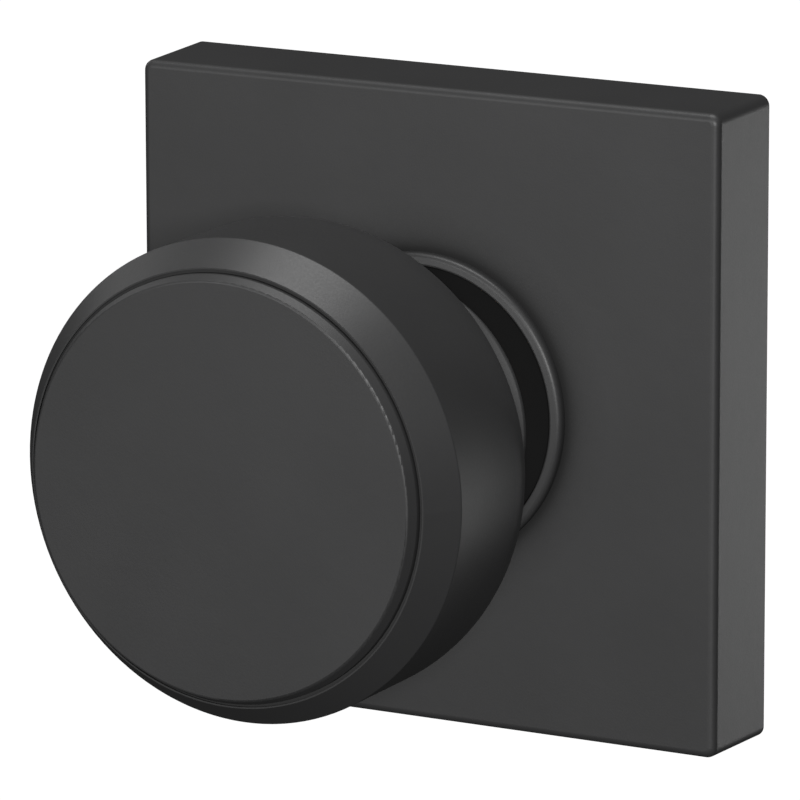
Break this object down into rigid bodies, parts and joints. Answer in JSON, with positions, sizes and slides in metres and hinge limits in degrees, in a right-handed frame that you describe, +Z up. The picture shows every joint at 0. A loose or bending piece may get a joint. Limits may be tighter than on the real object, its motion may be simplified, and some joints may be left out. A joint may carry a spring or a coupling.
{
  "type": "door knob",
  "caption": "Round door knob with a bevelled flat front on a thick square rose, with a sprung turning shank and a square spindle.",
  "frame": {"origin": "on the turning axis, in the plane of the door face that the rose lies on", "axes": "+Y into the door along the spindle, so the knob stands out along -Y; +Z up; X along the rose's lower edge"},
  "size_m": [0.065, 0.097, 0.065],
  "materials": {
    "black_coat": "matte",
    "housing_black": "matte",
    "spring_steel": "satin",
    "plated_steel": "satin",
    "bright_steel": "satin",
    "cast_zinc": "matte",
    "bronze": "satin",
    "nylon": "matte"
  },
  "bodies": {
    "rose": {"rose_cover": "black_coat", "rose_collar": "black_coat", "mounting_plate": "plated_steel", "post_right": "plated_steel", "post_left": "plated_steel", "spring_housing": "housing_black", "housing_screw_top": "plated_steel", "housing_screw_bottom": "plated_steel", "bearing_bush": "bronze", "return_spring": "spring_steel", "cover_clip_right": "spring_steel", "cover_clip_top": "spring_steel", "cover_clip_left": "spring_steel", "cover_clip_bottom": "spring_steel"},
    "knob": {"knob_shell": "black_coat", "knob_face": "black_coat", "knob_ferrule": "black_coat", "knob_core": "cast_zinc", "core_screw_1": "plated_steel", "core_screw_2": "plated_steel", "core_screw_3": "plated_steel", "snap_ring": "spring_steel", "knob_shank": "bright_steel", "drive_cam": "plated_steel", "retaining_ring": "spring_steel", "thrust_washer": "nylon", "friction_washer": "nylon", "spindle": "bright_steel", "spindle_pin": "plated_steel", "catch_spring": "spring_steel"},
    "catch": {"knob_catch": "bright_steel"}
  },
  "joints": [
    {"name": "knob_turn", "type": "hinge", "parent": "rose", "child": "knob", "pos_m": [0, 0, 0], "axis": [0, -1, 0], "range_deg": [-60, 60], "stiffness_Nm_per_rad": 0.25, "deforming": ["return_spring"]},
    {"name": "catch_press", "type": "slide", "parent": "knob", "child": "catch", "axis": [0, 0, 1], "range_m": [0, 0.0015], "stiffness_N_per_m": 500, "springref_m": -0.001, "deforming": ["catch_spring"]}
  ]
}
